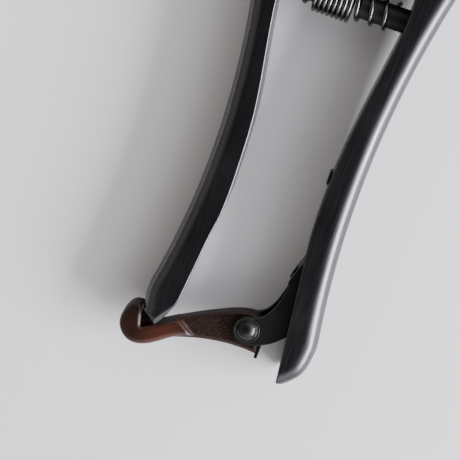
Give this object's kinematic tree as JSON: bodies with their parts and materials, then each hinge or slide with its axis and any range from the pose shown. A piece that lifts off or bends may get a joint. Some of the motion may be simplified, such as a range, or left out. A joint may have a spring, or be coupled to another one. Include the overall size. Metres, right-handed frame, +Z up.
{
  "type": "pruning shears",
  "caption": "Bypass pruning shears with long forged handles, a coil return spring on two pegs, a notched pivot nut and a swinging catch that latches the handle ends.",
  "frame": {"origin": "on the pivot axis, at the centre of the flat underside of the pivot bolt's head, which is the lowest face", "axes": "+Y towards the blade tips, +X towards the handle that carries the catch, +Z up along the pivot axis towards the nut"},
  "size_m": [0.0573, 0.207, 0.0201],
  "materials": {
    "handle_metal": "dark gunmetal satin with lengthwise brushing",
    "blade_steel": "ground steel",
    "dark_steel": "black oxide, slightly glossy",
    "spring_steel": "bright drawn wire",
    "bearing_bronze": "plain",
    "catch_plastic": "glossy dark brown",
    "stop_rubber": "matt"
  },
  "bodies": {
    "blade_lever": {"right_handle": "handle_metal", "cutting_blade": "blade_steel", "blade_rivets": "blade_steel", "pivot_bolt": "dark_steel", "thrust_washer": "dark_steel", "spring_washer": "dark_steel", "pivot_nut": "dark_steel", "lock_plate": "dark_steel", "lock_screw": "dark_steel", "right_spring_peg": "dark_steel", "return_spring": "spring_steel", "stop_button": "dark_steel", "catch_bracket": "dark_steel", "foot_rivets": "dark_steel", "catch_rivet": "dark_steel", "catch_washer": "dark_steel"},
    "hook_lever": {"left_handle": "handle_metal", "hook_blade": "blade_steel", "hook_rivets": "blade_steel", "pivot_bushing": "bearing_bronze", "left_spring_peg": "dark_steel", "stop_cushion": "stop_rubber"},
    "catch": {"catch_lever": "catch_plastic", "catch_heel_plate": "dark_steel"}
  },
  "joints": [
    {"name": "handles_open", "type": "hinge", "parent": "blade_lever", "child": "hook_lever", "pos_m": [0, 0, 0.0095], "axis": [0, 0, -1], "range_deg": [0, 18], "deforming": ["return_spring"]},
    {"name": "catch_swing", "type": "hinge", "parent": "blade_lever", "child": "catch", "pos_m": [0.0047, -0.1339, 0.00945], "axis": [0, 0, 1], "range_deg": [0, 81]}
  ],
  "couplings": [
    {"joint": "catch_swing", "follows": "handles_open", "ratio": 4.45}
  ]
}
